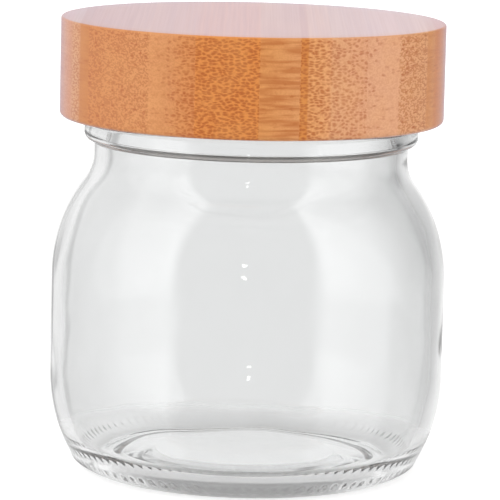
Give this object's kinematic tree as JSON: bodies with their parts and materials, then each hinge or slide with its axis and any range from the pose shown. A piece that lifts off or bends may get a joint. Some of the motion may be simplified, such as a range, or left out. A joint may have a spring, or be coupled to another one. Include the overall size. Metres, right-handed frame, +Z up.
{
  "type": "glass storage jar with bamboo lid",
  "caption": "Squat clear glass storage jar with a rounded barrel body, a beaded neck and a thick flat cap turned from laminated bamboo.",
  "frame": {"origin": "centre of the bearing ring that the jar stands on, on the jar's axis", "axes": "+Z up along the jar's axis; the strips of the lid run along Y, and the front is seen from -Y"},
  "size_m": [0.0874, 0.0874, 0.1009],
  "materials": {
    "clear_glass": "clear, smooth, fire polished",
    "bamboo": "laminated bamboo, sanded, clear satin lacquer"
  },
  "bodies": {
    "root": {"glass_jar": "clear_glass", "bamboo_lid": "bamboo"}
  },
  "joints": []
}
